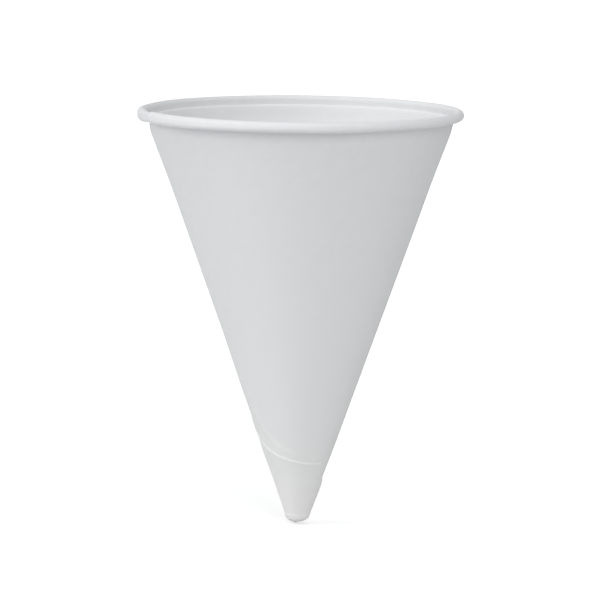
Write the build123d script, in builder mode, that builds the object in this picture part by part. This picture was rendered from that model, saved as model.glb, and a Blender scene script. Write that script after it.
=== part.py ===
from build123d import *
from math import cos, radians, sin, tan
import os

# A cone cup wound from one flat blank of paper. The blank goes round a conical mandrel
# about one and two thirds times, its tip is pressed round, and its mouth is creased
# outward and curled into a hollow rim. Millimetres and degrees.
# The cup is drawn mouth up, with the mandrel's point at the origin. An azimuth is
# counted about the axis from the side that faces the viewer, anticlockwise from above.
# A depth is counted through the paper from the face that touches the mandrel.

# Paper and overall form
paper = 0.22                # thickness of the paper
bedding = 0.02              # each turn is pressed this far into the turn below it
rim_diameter = 75.0         # over the curled rim
side_angle = 19.6           # slope of the wall from the cup's axis
tip_radius = 2.75           # outside of the pressed tip

# Crease and curl of the rim
mouth_inset = 0.08          # from the curl's upright sheet in to the mandrel, at the curl's middle
ledge_drop = 1.05           # from the curl's middle down to the ledge
crease_radius = 0.5         # where the wall turns out onto the ledge
crease_lap = 1.0            # the curl's second ply laps this far down the wall
roll_radius = 1.08          # round the top of the curl and round its underside
roll_drop = 0.3             # straight stretch between them, down the outside
under_turn = 95             # how far the underside goes round
tuck_hollow = 0.08          # left open inside the tighter turn, tucked inside
tuck_turn = 150             # how far that one goes
exposed_tuck = 40           # part of the tucked turn that shows from below

# Cut edges of the blank, each point by its azimuth and its slant height from the
# mandrel's point. The outer edge runs from the rim seam down to the bend, across
# the front to the corner, and then round the back of the tip.
inner_edge_azimuth = -68    # the straight edge that the winding starts from, inside
rim_seam_azimuth = -170.6
bend_slant = 24.9           # the bend lies over the inner edge
corner_azimuth = 47
corner_slant = 20.2
end_azimuth = 236
end_slant = 9.0
climb_angle = 6             # the next turn climbs over the inner edge within this angle
tuck_under = 0.4            # and its climb ends this far beyond the edge, under the paper

# Sizes that follow
slope = radians(side_angle)
full_turn = 360
turns_at_tip = 3
tuck_radius = tuck_hollow + 2 * paper
roll_middle = rim_diameter / 2 - roll_radius
riser_radius = roll_middle - roll_radius
mouth_radius = riser_radius - mouth_inset
roll_level = mouth_radius / tan(slope)
rim_slant = roll_level / cos(slope)
ledge_level = roll_level - ledge_drop
crease_level = ledge_level - crease_radius
crease_middle = (crease_level * tan(slope) + crease_radius / cos(slope), crease_level)
lap_slant = ledge_level / cos(slope) - crease_radius - crease_lap
under_level = roll_level - roll_drop
tuck_shift = roll_radius - tuck_radius
tuck_middle = (
    roll_middle + tuck_shift * cos(radians(under_turn)),
    under_level - tuck_shift * sin(radians(under_turn)),
)
tip_inner_radius = tip_radius - turns_at_tip * paper
tip_level = tip_inner_radius / sin(slope)


def upright(azimuth):
    """Plane through the cup's axis at an azimuth."""
    turn = radians(azimuth)
    return Plane((0, 0, 0), x_dir=(cos(turn), sin(turn), 0), z_dir=(sin(turn), -cos(turn), 0))


def on_wall(slant, depth):
    """Point of the half section at a slant height and a depth."""
    return (slant * sin(slope) + depth * cos(slope), slant * cos(slope) - depth * sin(slope))


def tip_line(depth, top_slant):
    """Line of the pressed tip and the wall at a depth, from the axis up to a slant height."""
    tip = CenterArc((0, tip_level), tip_inner_radius + depth, -90, 90 - side_angle)
    Line(tip @ 1, on_wall(top_slant, depth))
    return tip @ 0


def curl_line(depth, last_turn):
    """Line of the curl at a depth, up from the ledge and round into the tucked turn."""
    riser = Line((riser_radius + depth, ledge_level), (riser_radius + depth, roll_level))
    over = CenterArc((roll_middle, roll_level), roll_radius - depth, 180, -180)
    under = CenterArc((roll_middle, under_level), roll_radius - depth, 0, -under_turn)
    Line(over @ 1, under @ 0)
    tuck = CenterArc(tuck_middle, tuck_radius - depth, -under_turn, -last_turn)
    return riser @ 0, tuck @ 1


def mouth_line(depth):
    """Line of the whole mouth at a depth, from the foot of its lap on the wall."""
    crease = CenterArc(crease_middle, crease_radius - depth, 180 - side_angle, side_angle - 90)
    Line(on_wall(lap_slant, depth), crease @ 0)
    Line(crease @ 1, (riser_radius, ledge_level - depth))
    if depth > 0:
        CenterArc((riser_radius, ledge_level), depth, -90, 90)
    return curl_line(depth, tuck_turn)[1]


def ply_section(near, far, top_slant):
    """Half section of one turn of paper between two depths, up to a slant height."""
    with BuildSketch(Plane.XZ) as section:
        with BuildLine():
            near_axis = tip_line(near, top_slant)
            far_axis = tip_line(far, top_slant)
            Line(near_axis, far_axis)
            Line(on_wall(top_slant, near), on_wall(top_slant, far))
        make_face()
    return section.sketch


def slant_on_cut(start, end, azimuth):
    """Slant height at an azimuth on the straight cut between two points of the flat blank."""
    from_start = radians(azimuth - start[0]) * sin(slope)
    to_end = radians(end[0] - azimuth) * sin(slope)
    between = from_start + to_end
    return sin(between) / (sin(to_end) / start[1] + sin(from_start) / end[1])


def above_cut(start, end, last_azimuth):
    """Everything above the straight cut through two points of the blank, up to an azimuth."""
    steps = 24
    azimuths = [start[0] + (last_azimuth - start[0]) * step / steps for step in range(steps + 1)]
    rails = [
        Edge.make_spline([
            Vector(radius, 0, slant_on_cut(start, end, azimuth) * cos(slope)).rotate(Axis.Z, azimuth)
            for azimuth in azimuths
        ])
        for radius in (paper, rim_diameter)
    ]
    cut = Face.make_surface_from_curves(*rails)
    return extrude(cut, amount=rim_slant, dir=(0, 0, 1), mode=Mode.PRIVATE)


def climb(depth, low_slant, high_slant):
    """Wedge on the face at a depth that rises by one ply up to the inner edge."""
    start = inner_edge_azimuth - climb_angle
    end = inner_edge_azimuth + tuck_under
    with BuildPart() as wedge:
        for slant in (low_slant, high_slant):
            level = slant * cos(slope)
            face = level * tan(slope) + (depth - bedding) / cos(slope)
            outline = [(face, start), (face - paper, start), (face - paper, end), (face + paper, end)]
            corners = [Vector(radius, 0).rotate(Axis.Z, azimuth) for radius, azimuth in outline]
            with BuildSketch(Plane.XY.offset(level)):
                Polygon(corners, align=None)
        loft(ruled=True)
    return wedge.part


bend = (inner_edge_azimuth, bend_slant)
corner = (corner_azimuth, corner_slant)
end = (end_azimuth, end_slant)
rim_seam = (rim_seam_azimuth, rim_slant)
back_of_inner_edge = inner_edge_azimuth + full_turn

with BuildPart() as inner_turn:
    with BuildSketch(Plane.XZ):
        with BuildLine():
            near_axis = tip_line(0, lap_slant)
            near_end = mouth_line(0)
            far_end = mouth_line(2 * paper)
            Line(near_end, far_end)
            Line(on_wall(lap_slant, 2 * paper), on_wall(lap_slant, paper))
            far_axis = tip_line(paper, lap_slant)
            Line(near_axis, far_axis)
        make_face()
    revolve(axis=Axis.Z)

with BuildPart() as second_turn:
    near = paper - bedding
    revolve(ply_section(near, near + paper, lap_slant + paper), axis=Axis.Z)
    add(above_cut(rim_seam, bend, inner_edge_azimuth), mode=Mode.SUBTRACT)

with BuildPart() as third_turn:
    near = 2 * (paper - bedding)
    revolve(ply_section(near, near + paper, bend_slant + paper), axis=Axis.Z)
    add(above_cut(bend, corner, corner_azimuth), mode=Mode.SUBTRACT)
    add(above_cut(corner, end, back_of_inner_edge), mode=Mode.SUBTRACT)

with BuildPart() as wound:
    add(inner_turn.part)
    # From the rim seam to the inner edge only one ply of the curl is left.
    with BuildSketch(upright(rim_seam_azimuth)):
        with BuildLine():
            outer_start, outer_end = curl_line(-paper, exposed_tuck)
            ply_start, ply_end = curl_line(paper, exposed_tuck)
            Line(outer_start, ply_start)
            Line(outer_end, ply_end)
        make_face()
    revolve(axis=Axis.Z, revolution_arc=inner_edge_azimuth - rim_seam_azimuth, mode=Mode.SUBTRACT)
    add(second_turn.part)
    add(third_turn.part)
    add(climb(paper, bend_slant, lap_slant))
    add(climb(2 * paper - bedding, end_slant, bend_slant))
    add(climb(0, end_slant, lap_slant), mode=Mode.SUBTRACT)

# The cup is kept as it is held and used, mouth up, and its front faces -Y.
with BuildPart() as cup:
    add(wound.part.rotate(Axis.Z, -90))
box = cup.part.bounding_box()
cup.part = cup.part.translate((-box.center().X, -box.center().Y, -box.min.Z))
cup.part.label = "cup"

os.makedirs("parts", exist_ok=True)
export_step(cup.part, "parts/cup.step")
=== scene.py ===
from math import cos, pi, radians, sin, tan

import bpy
import numpy as np
from mathutils import Matrix, Vector


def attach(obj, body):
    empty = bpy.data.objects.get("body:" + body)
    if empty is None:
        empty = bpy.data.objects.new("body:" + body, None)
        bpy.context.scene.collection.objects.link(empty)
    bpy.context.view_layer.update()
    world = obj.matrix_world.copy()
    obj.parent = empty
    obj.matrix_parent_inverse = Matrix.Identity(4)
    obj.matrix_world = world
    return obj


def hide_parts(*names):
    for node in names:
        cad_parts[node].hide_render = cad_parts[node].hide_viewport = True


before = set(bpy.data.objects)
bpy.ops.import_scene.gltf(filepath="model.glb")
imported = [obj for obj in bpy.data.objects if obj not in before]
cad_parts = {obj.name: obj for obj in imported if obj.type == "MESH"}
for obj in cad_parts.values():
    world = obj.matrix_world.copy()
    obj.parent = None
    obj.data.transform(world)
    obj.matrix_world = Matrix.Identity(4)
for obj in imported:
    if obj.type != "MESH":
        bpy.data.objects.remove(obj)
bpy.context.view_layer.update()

# The cup. A cone cup is one flat blank of uncoated white paper, wound about one and two
# thirds times round a steel cone. Its tip is pressed round, and its mouth is creased
# outward and curled into a hollow rim.

# Lengths are in millimetres on the steel cone. A level is a height over the cone's
# point, and a slant is a distance from that point along the wall. Angles are in degrees
# round the axis, and azimuth 0 is the side that faces the camera.
paper = 0.20                   # thickness of the sheet
wall_pitch = 0.205             # from one turn to the next on the wall
curl_pitch = 0.22              # and in the curl, where the turns sit a little looser
side_angle = 19.6              # slope of the wall from the axis
slope = radians(side_angle)
tip_radius = 2.19              # inner face of the pressed tip
tip_level = tip_radius / sin(slope)
tip_slant = tip_radius / tan(slope)
rim_radius = 37.5
mouth_radius = 35.26           # of the steel cone, at the level of the curl's middle
curl_level = mouth_radius / tan(slope)
curl_radius = 1.08             # outside of the curl
tuck_radius = 0.52             # and of the tighter turn inside it
under_turn, tuck_turn = 95, 150               # how far the underside and that turn go round
riser = rim_radius - 2 * curl_radius          # where the sheet stands up from the ledge
ledge_drop = 1.05
ledge = curl_level - ledge_drop
rim_tilt = 0.16                # the rim's left side is higher than its right by twice this
crease_radius = 0.5
crease_middle = (
    (ledge - crease_radius) * tan(slope) + crease_radius / cos(slope),
    ledge - crease_radius,
)
crease_slant = crease_middle[0] * sin(slope) + crease_middle[1] * cos(slope)

# Edges and corners of the blank. A winding is an azimuth that goes on counting, from the
# inner edge to the outer end of the sheet.
turn = 360.0
inner_edge = -68.0
seam_on_ply, seam_width = 189.4, 1.6    # where the first ply steps down past the end of the second
first_pass = inner_edge + turn          # where the sheet first passes over its inner edge
rim_seam, rim_seam_slant = seam_on_ply + turn, 105.1
bend, bend_slant = inner_edge + 2 * turn, 24.9
corner, corner_slant = 47 + 2 * turn, 20.2
fold_end, fold_end_slant = 236 + 2 * turn, 9.0
outer_end, outer_end_slant = inner_edge + 3 * turn, 0.6
climb_angle = 6                # in which the sheet climbs over its inner edge


def smooth(share):
    """A share held between 0 and 1, then three times its square less twice its cube."""
    share = np.clip(share, 0, 1)
    return share * share * (3 - 2 * share)


def bell(value, middle, width):
    """A bell curve: 1 at its middle and a third of that at a width to each side."""
    return np.exp(-(((value - middle) / width) ** 2))


def bell_round(winding, azimuth, width):
    """A bell curve of the degrees from an azimuth, counted the nearest way round."""
    return bell((winding - azimuth + turn / 2) % turn - turn / 2, 0, width)


def straight_cut(winding, start, start_slant, end, end_slant):
    """Slant of the straight line between two points of the flat blank, at a winding.
    One over the slant is the sum of the ends' own, each times the sine of the angle to
    the other end, over the sine of the whole angle, all on the flat blank."""
    from_start = np.radians(winding - start) * sin(slope)
    to_end = np.radians(end - winding) * sin(slope)
    whole = radians(end - start) * sin(slope)
    return sin(whole) / (np.sin(to_end) / start_slant + np.sin(from_start) / end_slant)


def outer_edge(winding):
    """Slant at which the sheet ends: the crease up to the rim seam, then three straight
    cuts, and a smooth step that runs out at the tip."""
    run_out = smooth((winding - fold_end) / (outer_end - fold_end))
    down_the_back = straight_cut(winding, rim_seam, rim_seam_slant, bend, bend_slant)
    return np.select(
        [winding < rim_seam, winding < bend, winding < corner, winding < fold_end],
        [
            crease_slant + 0 * winding,
            np.minimum(crease_slant, down_the_back),
            straight_cut(winding, bend, bend_slant, corner, corner_slant),
            straight_cut(winding, corner, corner_slant, fold_end, fold_end_slant),
        ],
        fold_end_slant - (fold_end_slant - outer_end_slant) * run_out,
    )


def inner_edge_shift(slant):
    """How far round the inner edge swings to the right toward the tip: 13 degrees less 15
    times the logarithm of the height over slant 25.2, counted in lengths of 9.2 mm, and
    held between none and 60 degrees."""
    height = np.maximum(slant - 25.2, 0.05)
    return np.clip(13 - 15 * np.log(height / 9.2), 0, 60)


def turns_below(winding, slant):
    """Number of plies under the sheet. It climbs by one, in a smooth step, before each
    pass over the inner edge. The step is longer toward the tip: e times as long for
    every 1.9 mm below slant 29.5, up to 310 degrees."""
    climb = np.minimum(climb_angle * np.exp(np.maximum(0, 29.5 - slant) / 1.9), 310)
    edge = inner_edge + inner_edge_shift(slant)
    return sum(smooth((winding - edge - k * turn) / climb + 1) for k in (1, 2, 3))


def relief(winding, slant):
    """How far the wall stands off the cone. It is the sum of a bow, which is a parabola
    up the wall, of two smooth steps inward where the tip is pressed tight, of swells
    and a hollow, each a bell curve round the axis times a curve up the wall, and of two
    waves, as damp paper keeps them, each a sine round the axis."""
    height, round_axis = slant / crease_slant, np.radians(winding)
    bow = 0.34 - 0.18 * 4 * height * (1 - height)
    pressed = -0.20 * smooth((26 - slant) / 12) - 0.52 * smooth((6.4 - slant) / 5.5)
    single_sheet = 0.30 * bell_round(winding, -95, 45) * smooth(height * 6 - 4.9)
    top_right = -0.14 * bell_round(winding, 90, 40) * bell(slant, 90, 10)
    low_left = 0.18 * bell_round(winding, -75, 30) * bell(slant, 37, 9)
    free_edge = 0.17 * bell(winding, corner + 45, 30) * bell(slant, 13, 4)
    long_wave = 0.03 * np.sin(3 * round_axis + 0.7) * np.sin(pi * height) * height
    short_wave = 0.02 * np.sin(5 * round_axis + 9 * height + 2.1) * smooth(height * 2.5)
    swells = single_sheet + top_right + low_left + free_edge
    return bow + pressed + swells + long_wave + short_wave


def press_rings(slant, winding):
    """Strength of the two rings that the press leaves round the tip: a pair of bell
    curves up the wall, about slants that wander a little as a sine round the axis."""
    lower_ring, upper_ring, width = 5.35, 6.5, 0.22
    wander = 0.12 * np.sin(np.radians(winding) * 2 + 0.6)
    lower = 1.4 * bell(slant, lower_ring + wander, width)
    return lower + 1.2 * bell(slant, upper_ring - wander, width)


def thickness(slant, winding, top):
    """The sheet's thickness. The press has pinched it to a fifth at its outer edge, from
    the rim seam to the corner. It fills out in a third of a millimetre, by a smooth
    step, and swells a little there, by a bell curve."""
    pinch_depth, fill_out, swell = 0.8, 0.35, 0.055
    below_edge = top - slant
    outer = smooth((winding - rim_seam) / 20) * (1 - smooth((winding - corner) / 25))
    pinched = outer * (1 - smooth(below_edge / fill_out))
    return paper * (1 - pinch_depth * pinched) + swell * outer * bell(below_edge, 0.5, 0.45)


def curl_plies(winding):
    """Plies between the curl's outer face and the sheet. The first ply sinks by a smooth
    step where the second one ends under it, at the rim seam, and by another before it
    passes under its own start. A bell curve takes it lower still just there, which
    shows as a step in the rim."""
    past_seam = 0.3 * smooth((winding - seam_on_ply) / seam_width)
    before_pass = 0.7 * smooth((winding - first_pass + 20) / 18)
    return past_seam + before_pass + 0.8 * bell(winding, first_pass - 2, 8)


def wall_line(slant, winding, top, face):
    """Radius and level at a slant, and at a depth counted square to the steel cone: on
    the wall, or below tip_slant on the pressed dome, which is a ball about tip_level.
    face is 0 on the side of the steel cone and 1 on the other."""
    joined = smooth((slant - crease_slant + 3) / 3)
    on_wall = wall_pitch * turns_below(winding, slant) + relief(winding, slant)
    depth = on_wall * (1 - joined) + joined * curl_pitch * curl_plies(winding)
    depth = depth + thickness(slant, winding, top) * face
    depth = depth + 0.05 * press_rings(slant, winding)
    rise = np.radians(-90 + (90 - side_angle) * slant / tip_slant)
    reach = tip_radius + depth
    dome = reach * np.cos(rise), tip_level + reach * np.sin(rise)
    side = slant * sin(slope) + depth * cos(slope), slant * cos(slope) - depth * sin(slope)
    return tuple(np.where(slant < tip_slant, low, high) for low, high in zip(dome, side))


def arc(middle, radius, start, sweep, share):
    """Point of a circle at a share of its sweep, in radius and level."""
    angle = start + sweep * share
    return middle[0] + radius * np.cos(angle), middle[1] + radius * np.sin(angle)


def straight(start, end, share):
    """Point of a straight line at a share of its length, in radius and level."""
    return tuple(first + (last - first) * share for first, last in zip(start, end))


def curl_line(stage, winding, face):
    """Radius and level on the mouth, in eight stages of arcs and straight lines: crease,
    ledge, upward fold, riser, over the top, down the outside, round the underside, and
    the tucked turn. The outside drop is longest at the left, by a sine round the axis,
    and bell curves and small sines let the curl's width and foot wander."""
    depth = curl_pitch * curl_plies(winding) + paper * face
    around = np.radians(winding)
    swell = 0.012 * np.sin(4 * around + 1.0) + 0.01 * np.sin(9 * around + 2.4)
    swell = swell + 0.08 * bell_round(winding, -98, 22)
    drop = 0.24 - 0.38 * np.sin(around) + 0.02 * np.sin(7 * around)
    drop = np.maximum(0.03, drop + 0.16 * bell_round(winding, 14, 12))
    drop = drop + 0.28 * bell_round(winding, -77, 11)
    middle, under_level = riser + curl_radius + swell, curl_level - drop
    outside = curl_radius + swell - depth
    tuck_start, tuck_shift = -radians(under_turn), curl_radius + swell - tuck_radius
    tuck_middle = middle + tuck_shift * cos(tuck_start), under_level + tuck_shift * sin(tuck_start)
    fold_radius = np.maximum(depth, 0.02)
    share = stage + 1 - np.ceil(stage)
    parts = [
        arc(crease_middle, crease_radius - depth, pi - slope, slope - pi / 2, share),
        straight((crease_middle[0], ledge - depth), (riser, ledge - depth), share),
        arc((riser, ledge), fold_radius, -pi / 2, pi / 2, share),
        straight((riser + depth, ledge), (riser + depth, curl_level), share),
        arc((middle, curl_level), outside, pi, -pi, share),
        straight((middle + outside, curl_level), (middle + outside, under_level), share),
        arc((middle, under_level), outside, 0, tuck_start, share),
        arc(tuck_middle, tuck_radius - depth, tuck_start, -radians(tuck_turn), share),
    ]
    steps = [stage <= limit for limit in range(1, len(parts) + 1)]
    return tuple(np.select(steps, [part[i] + 0 * stage for part in parts]) for i in (0, 1))


# One grid covers the blank. Its columns are windings, closest where the sheet steps, and
# its rows run from the tip to the crease and then round the curl.
column_step = 3.2
stops = [
    inner_edge, seam_on_ply, seam_on_ply + seam_width, first_pass - climb_angle, first_pass,
    rim_seam, bend - climb_angle, bend, corner, fold_end, outer_end,
]
columns = np.concatenate([
    np.linspace(low, high, max(3, int((high - low) / column_step)), endpoint=False)
    for low, high in zip(stops[:-1], stops[1:])
] + [[outer_end]])
wall_rows = np.concatenate([
    [0.05], np.arange(0.6, 4, 0.6), np.arange(4, 7.4, 0.17), np.arange(7.5, 18, 1.0),
    np.arange(18, 40, 0.7), np.linspace(40, 98, 21), np.arange(99.0, crease_slant, 0.8),
    [crease_slant],
])
rows_in_stage = (5, 1, 4, 3, 14, 2, 9, 8)
curl_rows = np.concatenate([
    np.linspace(stage, stage + 1, steps + 1)[1:] for stage, steps in enumerate(rows_in_stage)
])

# On the wall the rows share out each column's slant, and the columns near the inner edge
# lean with it. The rim is tilted, and pressed down a little just behind its left end.
lowest = wall_rows[0]
top = outer_edge(columns)[None, :]
slant = lowest + (wall_rows[:, None] - lowest) * (top - lowest) / (crease_slant - lowest)
lean = np.clip(1 - (columns - inner_edge) / 130, 0, 1)[None, :]
wall_winding = columns[None, :] + inner_edge_shift(slant) * lean
curl_winding = np.repeat(columns[None, :], len(curl_rows), axis=0)
stage = np.repeat(curl_rows[:, None], len(columns), axis=1)
winding = np.vstack([wall_winding, curl_winding])
around = np.radians(winding)
pressed_down = rim_tilt * np.sin(around) + 0.2 * bell_round(winding, -102, 17)

faces_of_sheet = []
for face in (0, 1):
    low = wall_line(slant, wall_winding, top, face)
    high = curl_line(stage, curl_winding, face)
    radius, level = np.vstack([low[0], high[0]]), np.vstack([low[1], high[1]])
    level = level - pressed_down * smooth(level / 40 - 1.4)
    spot = np.stack([radius * np.cos(around), radius * np.sin(around), level], axis=-1)
    faces_of_sheet.append(spot.reshape(-1, 3))
points = np.concatenate(faces_of_sheet)

# The cells of the grid that hold paper: all of them on the wall, and on the curl those
# before the rim seam. A strip closes the sheet wherever a cell has no neighbour.
rows, across = winding.shape
far = rows * across
index = np.arange(far).reshape(rows, across)
paper_here = np.ones((rows - 1, across - 1), bool)
paper_here[len(wall_rows) - 1:, columns[:-1] >= rim_seam - 0.01] = False
lower_left, lower_right = index[:-1, :-1][paper_here], index[:-1, 1:][paper_here]
upper_left, upper_right = index[1:, :-1][paper_here], index[1:, 1:][paper_here]
quads = [
    np.stack([lower_left, upper_left, upper_right, lower_right], axis=1),
    np.stack([lower_left, lower_right, upper_right, upper_left], axis=1) + far,
]
padded = np.pad(paper_here, 1)
edges = [
    (paper_here & ~padded[:-2, 1:-1], index[:-1, :-1], index[:-1, 1:]),
    (paper_here & ~padded[1:-1, 2:], index[:-1, 1:], index[1:, 1:]),
    (paper_here & ~padded[2:, 1:-1], index[1:, 1:], index[1:, :-1]),
    (paper_here & ~padded[1:-1, :-2], index[1:, :-1], index[:-1, :-1]),
]
for open_side, starts, ends in edges:
    start, end = starts[open_side], ends[open_side]
    quads.append(np.stack([start, end, end + far, start + far], axis=1))
used, quads = np.unique(np.vstack(quads), return_inverse=True)
quads = quads.reshape(-1, 4)

# The cup stands mouth up with its front to -Y, where the solid is, in metres. The tip is
# pressed round, so the steel cone's point is 3.5 mm under the frame's origin.
shift = (-0.00011, 0, -0.0035204)
set_up = Matrix.Translation(shift) @ Matrix.Rotation(-pi / 2, 4, "Z")
placed = np.array(set_up)
points = points[used] / 1000 @ placed[:3, :3].T + placed[:3, 3]

cup_mesh = bpy.data.meshes.new("paper_cup")
cup_mesh.from_pydata(points, [], quads)
cup = bpy.data.objects.new("paper_cup", cup_mesh)
bpy.context.scene.collection.objects.link(cup)
cup_mesh.polygons.foreach_set("use_smooth", np.ones(len(cup_mesh.polygons), bool))
cup_mesh.set_sharp_from_angle(angle=radians(38))

# The blank laid flat, in decimetres, is the map for the grain of the paper: a point's
# distance from the cone's point, at its winding times the sine of the slope.
curl_stage_length = 1.2        # of the sheet in one stage of the curl, near enough
map_unit = 100
along = np.vstack([slant, crease_slant + curl_stage_length * stage]) / map_unit
flat_angle = around * sin(slope)
flat = np.stack([along * np.cos(flat_angle), along * np.sin(flat_angle)], axis=-1)
flat = np.concatenate([flat.reshape(-1, 2)] * 2)[used]
loop_vertices = np.empty(len(cup_mesh.loops), np.int32)
cup_mesh.loops.foreach_get("vertex_index", loop_vertices)
flat_blank = cup_mesh.uv_layers.new(name="flat_blank")
flat_blank.data.foreach_set("uv", flat[loop_vertices].astype(np.float32).ravel())

# Painted light, kept in an attribute: where it is high, the colour is mixed toward a lighter
# white. It paints a highlight along the edge of the ply below the sheet, whose line swings round
# to the right toward the tip, and on the rings that the press leaves. The inside of the cup, the
# side of the sheet that lay on the steel, is painted lighter all over. On the curl, from its top
# on round the outside, a painted shade takes back more than half of that, and all of it where the
# curl is a single ply.
ridge_slants, ridge_azimuths = (23.1, 24.3, 27.9, 32.2, 42), (-9.3, -28.6, -49.6, -58, -66)
# Painted highlights: along the ridge where the sheet passes over the ply below, and on the press
# rings.
ridge_highlight = bell(wall_winding, np.interp(slant, ridge_slants, ridge_azimuths) + turn, 7)
ridge_highlight = ridge_highlight * smooth((slant - 22) / 1.5) * smooth((44 - slant) / 14)
outer_side_highlights = np.vstack([ridge_highlight + press_rings(slant, wall_winding), 0 * stage])
single_ply = curl_winding >= seam_on_ply
# Painted shade on the curl, from its top on round the outside, and strongest where it is a single
# ply.
curl_painted_shade = (0.55 + 0.45 * single_ply) * smooth((stage - 3.6) / 1.2)
inner_side_painted_light = np.vstack([1 + 0 * slant, 1 - curl_painted_shade])
painted_light_values = np.concatenate([inner_side_painted_light.ravel(), outer_side_highlights.ravel()])[used]
painted_light = cup_mesh.attributes.new("painted_light", "FLOAT", "POINT")
painted_light.data.foreach_set("value", painted_light_values.astype(np.float32))
cup_mesh.update()

# Uncoated white paper: a cool, slightly grey white with the cloudy look-through of wood pulp, a
# matt skin and a fine felt of fibres that lie mostly along the blank. Toward the tip, where more
# plies lie behind one another, the colour turns lighter. This is painted light, for the brighter
# light that falls on the lower wall.
mouth_grey, mouth_white = (0.672, 0.684, 0.696, 1), (0.692, 0.703, 0.712, 1)
low_white_painted_light, tip_white_painted_light = (0.750, 0.753, 0.752, 1), (0.772, 0.768, 0.762, 1)
painted_light_white = (0.9, 0.9, 0.9, 1)
grain_angle = radians(20)
white_paper = bpy.data.materials.new("white_paper")
white_paper.use_nodes = True
nodes, links = white_paper.node_tree.nodes, white_paper.node_tree.links
skin = nodes["Principled BSDF"]
skin.inputs["Roughness"].default_value = 0.82
skin.inputs["Specular IOR Level"].default_value = 0.3
skin.inputs["Sheen Weight"].default_value = 0.08
skin.inputs["Sheen Roughness"].default_value = 0.6
blank_map = nodes.new("ShaderNodeUVMap")
blank_map.uv_map = "flat_blank"


def felt(name, stretch, scale, detail):
    """Noise on the flat blank, drawn out along the grain of the sheet by the stretch."""
    turned = nodes.new("ShaderNodeMapping")
    turned.inputs["Rotation"].default_value = (0, 0, grain_angle)
    turned.inputs["Scale"].default_value = (1, stretch, 1)
    links.new(blank_map.outputs["UV"], turned.inputs["Vector"])
    noise = nodes.new("ShaderNodeTexNoise")
    noise.name = name
    noise.inputs["Scale"].default_value = scale
    noise.inputs["Detail"].default_value = detail
    noise.inputs["Roughness"].default_value = 0.6
    links.new(turned.outputs["Vector"], noise.inputs["Vector"])
    return noise.outputs["Fac"]


def share_between(value, low, high, most=1):
    """A value's run from low to high, mapped onto 0 to the most and held within it."""
    mapped = nodes.new("ShaderNodeMapRange")
    for socket, number in (("From Min", low), ("From Max", high), ("To Min", 0), ("To Max", most)):
        mapped.inputs[socket].default_value = number
    links.new(value, mapped.inputs["Value"])
    return mapped.outputs["Result"]


def mixed(factor, low, high):
    """A colour between two, by a factor. Each of the two is a colour or another mix."""
    mix = nodes.new("ShaderNodeMix")
    mix.data_type = "RGBA"
    for socket, colour in (("A", low), ("B", high)):
        if isinstance(colour, tuple):
            mix.inputs[socket].default_value = colour
        else:
            links.new(colour, mix.inputs[socket])
    links.new(factor, mix.inputs["Factor"])
    return mix.outputs["Result"]


def bumped(height, strength, distance, below=None):
    """Bumps from a height, over the bumps below them if there are any."""
    bump = nodes.new("ShaderNodeBump")
    bump.inputs["Strength"].default_value = strength
    bump.inputs["Distance"].default_value = distance
    links.new(height, bump.inputs["Height"])
    if below:
        links.new(below, bump.inputs["Normal"])
    return bump.outputs["Normal"]


clouds = felt("clouds", 1.6, 28, 3)
fibres = felt("fibres", 5.0, 420, 4)
from_point = nodes.new("ShaderNodeVectorMath")
from_point.operation = "LENGTH"
links.new(blank_map.outputs["UV"], from_point.inputs[0])
distance_up = from_point.outputs["Value"]
painted_light_here = nodes.new("ShaderNodeAttribute")
painted_light_here.attribute_name = "painted_light"
# Painted light: the colour turns lighter toward the tip, over the cloudy tone of the sheet.
near_tip_painted_light = mixed(share_between(distance_up, 0.08, 0.26), tip_white_painted_light, low_white_painted_light)
near_mouth = mixed(share_between(clouds, 0.3, 0.7), mouth_grey, mouth_white)
sheet_colour_and_painted_light = mixed(share_between(distance_up, 0.15, 1.0), near_tip_painted_light, near_mouth)
# The painted light and shade of the attribute above mix the colour toward a lighter white.
painted_light_share = share_between(painted_light_here.outputs["Fac"], 0, 1.4, 0.36)
links.new(mixed(painted_light_share, sheet_colour_and_painted_light, painted_light_white), skin.inputs["Base Color"])
felted = bumped(fibres, 0.25, 0.00004)
links.new(bumped(clouds, 0.2, 0.00005, felted), skin.inputs["Normal"])
cup_mesh.materials.append(white_paper)

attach(cup, "root")
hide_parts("cup")

# The camera looks at the cup from its front, 5 degrees above the plane of its rim, from
# 1.4 m away. It leans a little, as the cup does in the photograph.
distance, above_rim, level_roll = 1.4, radians(4.964), radians(0.50)
rim_level, aim_below_rim, aim_to_right = 0.098853, 0.043078, 0.000170
eye = set_up @ Vector((distance * cos(above_rim), 0, rim_level + distance * sin(above_rim)))
aim = set_up @ Vector((0, aim_to_right, rim_level - aim_below_rim))
forward = (aim - eye).normalized()
flat_right = forward.cross(Vector((0, 0, 1))).normalized()
flat_up = flat_right.cross(forward)
right = flat_right * cos(level_roll) + flat_up * sin(level_roll)
up = flat_up * cos(level_roll) - flat_right * sin(level_roll)
turned_to_cup = Matrix((right, up, -forward)).transposed().to_4x4()
camera_data = bpy.data.cameras.new("camera")
camera_data.lens, camera_data.sensor_width = 365.5, 36
camera_data.clip_end = 20
camera = bpy.data.objects.new("camera", camera_data)
camera.matrix_world = Matrix.Translation(eye) @ turned_to_cup
bpy.context.scene.collection.objects.link(camera)
bpy.context.scene.camera = camera

# Plain studio light: soft boxes at the left, in front and overhead, a faint one from
# behind at the right, which catches the edge of the wall, and a pale room all round.
lamp_distance = 1.6


def soft_lamp(name, place, size, power):
    """A square soft box that faces the cup from a place, given as shares of the camera's
    right, up and backward directions."""
    lamp_data = bpy.data.lights.new(name, "AREA")
    lamp_data.size, lamp_data.energy = size, power
    lamp = bpy.data.objects.new(name, lamp_data)
    side = (right * place[0] + up * place[1] - forward * place[2]).normalized()
    lamp.location = aim + side * lamp_distance
    lamp.rotation_euler = (-side).to_track_quat("-Z", "Y").to_euler()
    bpy.context.scene.collection.objects.link(lamp)


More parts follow.
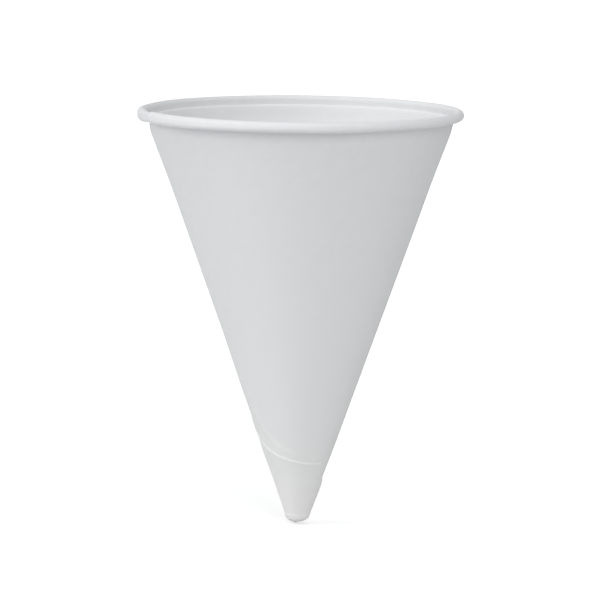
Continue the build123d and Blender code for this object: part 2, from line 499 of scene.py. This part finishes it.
soft_lamp("left_light", (-0.9, 0.35, 0.25), 1.0, 9.8)
soft_lamp("front_light", (0.25, 0.45, 0.85), 1.0, 10.2)
soft_lamp("top_light", (-0.35, 1.0, 0.6), 1.2, 7.4)
soft_lamp("right_light", (1.0, 0.0, -0.35), 1.0, 2.4)
room = bpy.data.worlds.new("room")
bpy.context.scene.world = room
room.use_nodes = True
room_nodes, room_links = room.node_tree.nodes, room.node_tree.links
glow, room_out = room_nodes["Background"], room_nodes["World Output"]
glow.inputs["Color"].default_value = (0.97, 0.985, 1, 1)
glow.inputs["Strength"].default_value = 0.35


def seen_directly(tree):
    """1 for what the camera sees, directly or in a reflection or through glass, else 0."""
    path = tree.nodes.new("ShaderNodeLightPath")
    total = path.outputs["Is Camera Ray"]
    for other in ("Is Glossy Ray", "Is Transmission Ray"):
        added = tree.nodes.new("ShaderNodeMath")
        added.operation = "MAXIMUM"
        tree.links.new(total, added.inputs[0])
        tree.links.new(path.outputs[other], added.inputs[1])
        total = added.outputs["Value"]
    return total


white_room = room_nodes.new("ShaderNodeBackground")
white_room.inputs["Strength"].default_value = 1
pick = room_nodes.new("ShaderNodeMixShader")
room_links.new(seen_directly(room.node_tree), pick.inputs["Fac"])
room_links.new(glow.outputs["Background"], pick.inputs[1])
room_links.new(white_room.outputs["Background"], pick.inputs[2])
room_links.new(pick.outputs["Shader"], room_out.inputs["Surface"])

# The floor: a matt white board. A little light of its own, for the camera alone, brings
# its open part up to white and leaves the cup's shadow. It is faint near the cup, where
# the lamps are bright, and grows with the distance from it.
half_width = 3
near_cup, far_off = 0.1, 0.9               # metres from the cup
faint_lift, full_lift = 0.46, 0.78
floor_corners = [
    (-half_width, -half_width, 0), (half_width, -half_width, 0),
    (half_width, half_width, 0), (-half_width, half_width, 0),
]
floor_mesh = bpy.data.meshes.new("floor")
floor_mesh.from_pydata(floor_corners, [], [(0, 1, 2, 3)])
floor = bpy.data.objects.new("floor", floor_mesh)
bpy.context.scene.collection.objects.link(floor)
board = bpy.data.materials.new("white_board")
board.use_nodes = True
board_nodes, board_links = board.node_tree.nodes, board.node_tree.links
matt, board_out = board_nodes["Principled BSDF"], board_nodes["Material Output"]
matt.inputs["Base Color"].default_value = (0.8, 0.8, 0.8, 1)
matt.inputs["Roughness"].default_value = 1
matt.inputs["Specular IOR Level"].default_value = 0
board_place = board_nodes.new("ShaderNodeTexCoord")
from_cup = board_nodes.new("ShaderNodeVectorMath")
from_cup.operation = "LENGTH"
board_links.new(board_place.outputs["Object"], from_cup.inputs[0])
grown = board_nodes.new("ShaderNodeMapRange")
grown.inputs["From Min"].default_value, grown.inputs["From Max"].default_value = near_cup, far_off
grown.inputs["To Min"].default_value, grown.inputs["To Max"].default_value = faint_lift, full_lift
board_links.new(from_cup.outputs["Value"], grown.inputs["Value"])
strength = board_nodes.new("ShaderNodeMath")
strength.operation = "MULTIPLY"
board_links.new(seen_directly(board.node_tree), strength.inputs[0])
board_links.new(grown.outputs["Result"], strength.inputs[1])
lift = board_nodes.new("ShaderNodeEmission")
board_links.new(strength.outputs["Value"], lift.inputs["Strength"])
both = board_nodes.new("ShaderNodeAddShader")
board_links.new(matt.outputs["BSDF"], both.inputs[0])
board_links.new(lift.outputs["Emission"], both.inputs[1])
board_links.new(both.outputs["Shader"], board_out.inputs["Surface"])
floor_mesh.materials.append(board)

bpy.context.scene.view_settings.view_transform = "Standard"
